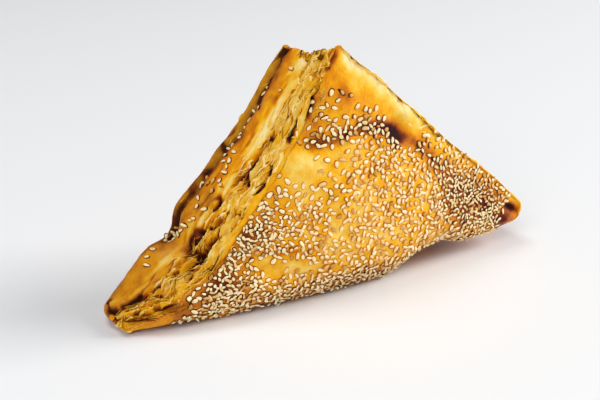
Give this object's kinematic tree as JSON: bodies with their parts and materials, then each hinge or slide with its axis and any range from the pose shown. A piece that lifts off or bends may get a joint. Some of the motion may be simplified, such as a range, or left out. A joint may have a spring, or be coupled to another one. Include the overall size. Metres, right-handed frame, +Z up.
{
  "type": "boureka",
  "caption": "Baked triangular turnover of laminated puff pastry with a seeded golden crust, standing upright on its folded edge.",
  "frame": {"origin": "middle of the part's box in X and Y, on the plane it rests on", "axes": "+X along the folded edge towards the right-hand tip as seen from the seeded face, +Y through the thickness from the seeded front face to the tray-side back face, +Z up towards the apex"},
  "size_m": [0.1948, 0.0494, 0.1075],
  "materials": {
    "baked_crust": "egg-washed baked pastry, glossy golden yellow to red-brown in patches, matt and pale at the layered edges",
    "layered_edge": "dry flaky layers, cream to golden yellow, browner in the gaps",
    "sesame_seed": "hulled toasted sesame, cream with a soft sheen"
  },
  "bodies": {
    "root": {"crust": "baked_crust"}
  },
  "joints": []
}
